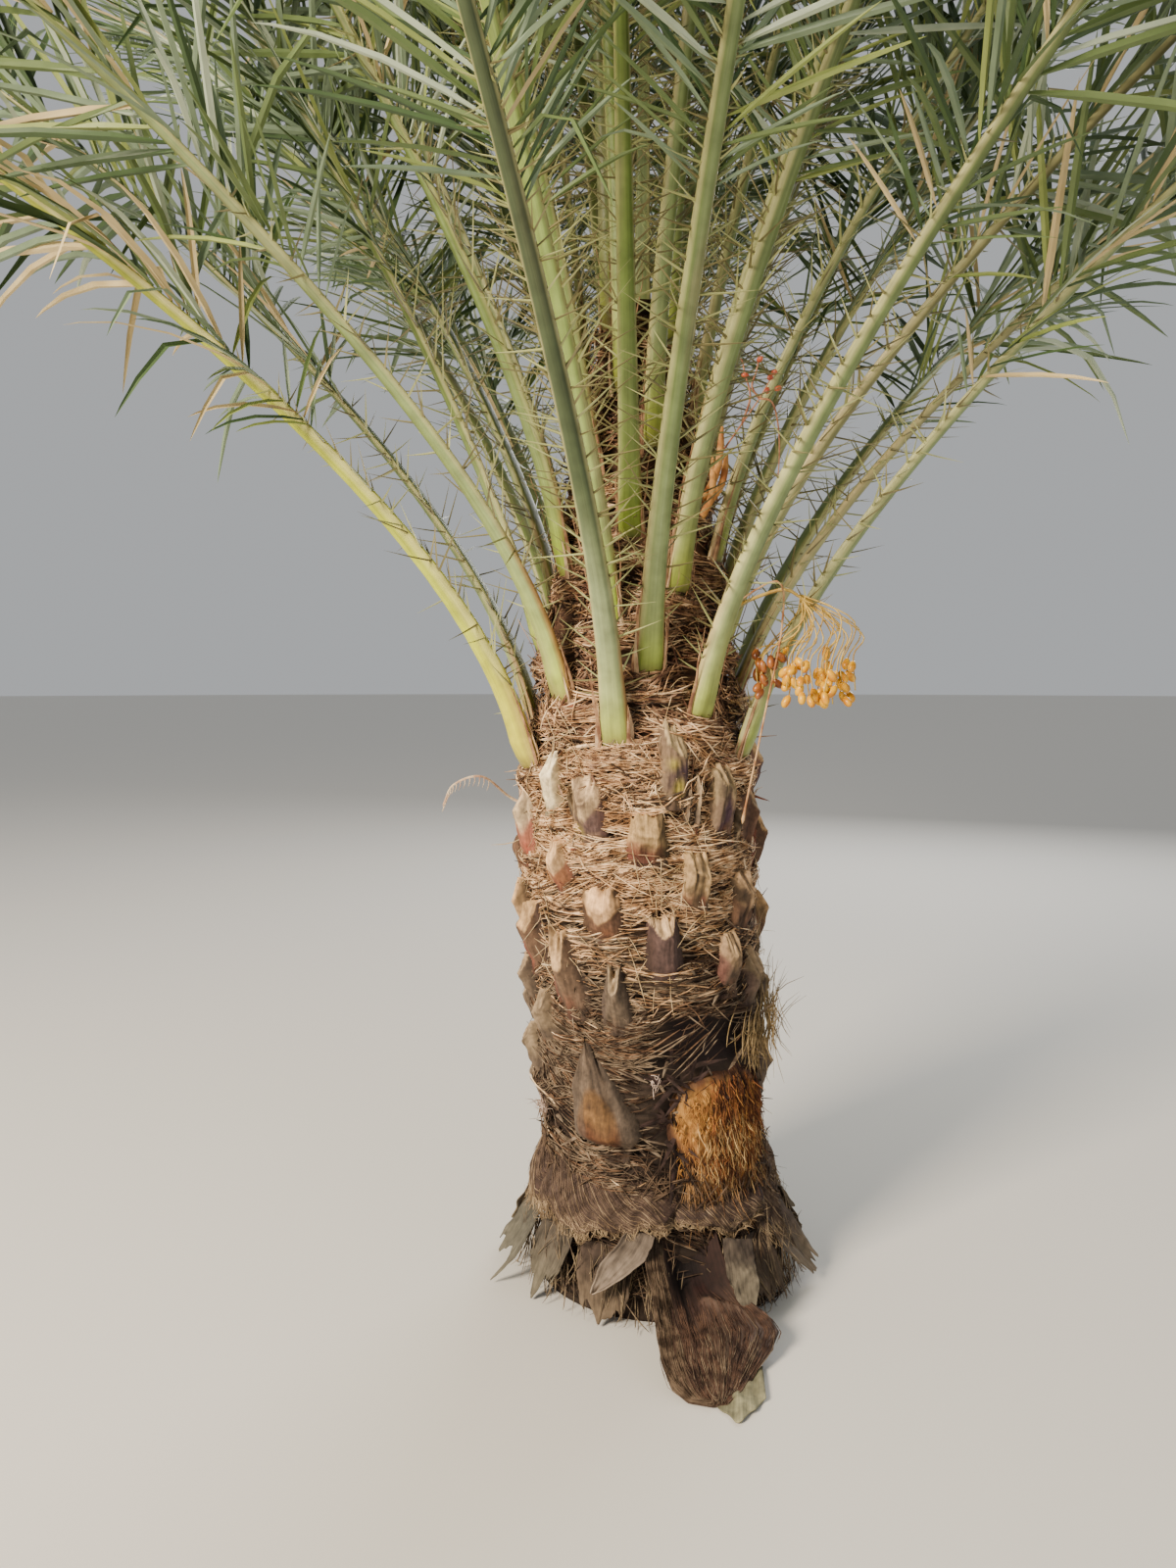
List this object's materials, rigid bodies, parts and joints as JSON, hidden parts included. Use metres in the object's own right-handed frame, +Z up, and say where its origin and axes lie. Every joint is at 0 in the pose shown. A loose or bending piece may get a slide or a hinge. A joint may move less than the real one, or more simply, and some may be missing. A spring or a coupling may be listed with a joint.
{
  "type": "date palm tree",
  "caption": "Short date palm rooted in the ground: fibre-wrapped trunk with cut leaf bases, an offshoot scar, a fallen sheath, and a full crown of arching feather fronds.",
  "frame": {"origin": "middle of the flat cut under the trunk, at ground level", "axes": "+Z up along the trunk, -Y towards the front of the tree, +X to its right seen from the front"},
  "size_m": [5.8905, 5.4414, 5.3003],
  "materials": {
    "trunk": "matt coarse fibre and cut leaf bases",
    "offshoot_scar": "matt torn orange-brown fibre",
    "dry_sheath": "matt dry leaf sheath",
    "frond": "satin waxy grey-green leaf",
    "fruit": "satin ripening dates on orange stalks"
  },
  "bodies": {
    "root": {"trunk": "trunk", "offshoot_scar": "offshoot_scar", "fallen_sheath": "dry_sheath", "inner_fronds_front": "frond", "inner_fronds_left": "frond", "inner_fronds_right": "frond", "frond_01_stalk": "frond", "frond_01_blade": "frond", "frond_02_stalk": "frond", "frond_02_blade": "frond", "frond_03_stalk": "frond", "frond_03_blade": "frond", "frond_04_stalk": "frond", "frond_04_blade": "frond", "frond_05_stalk": "frond", "frond_05_blade": "frond", "frond_06_stalk": "frond", "frond_06_blade": "frond", "frond_07_stalk": "frond", "frond_07_blade": "frond", "frond_08_stalk": "frond", "frond_08_blade": "frond", "frond_09_stalk": "frond", "frond_09_blade": "frond", "frond_10_stalk": "frond", "frond_10_blade": "frond", "frond_11_stalk": "frond", "frond_11_blade": "frond", "frond_12_stalk": "frond", "frond_12_blade": "frond", "frond_13_stalk": "frond", "frond_13_blade": "frond", "frond_14_stalk": "frond", "frond_14_blade": "frond", "frond_15_stalk": "frond", "frond_15_blade": "frond", "frond_16_stalk": "frond", "frond_16_blade": "frond", "frond_17_stalk": "frond", "frond_17_blade": "frond", "frond_18_stalk": "frond", "frond_18_blade": "frond", "frond_19": "frond", "frond_20": "frond", "frond_21": "frond", "frond_22": "frond", "frond_23": "frond", "frond_24": "frond", "frond_25": "frond", "frond_26": "frond", "frond_27": "frond", "frond_28": "frond", "frond_29": "frond", "frond_30": "frond", "frond_31": "frond", "frond_32": "frond", "frond_33": "frond", "frond_34": "frond", "frond_35": "frond", "frond_36": "frond"}
  },
  "joints": []
}
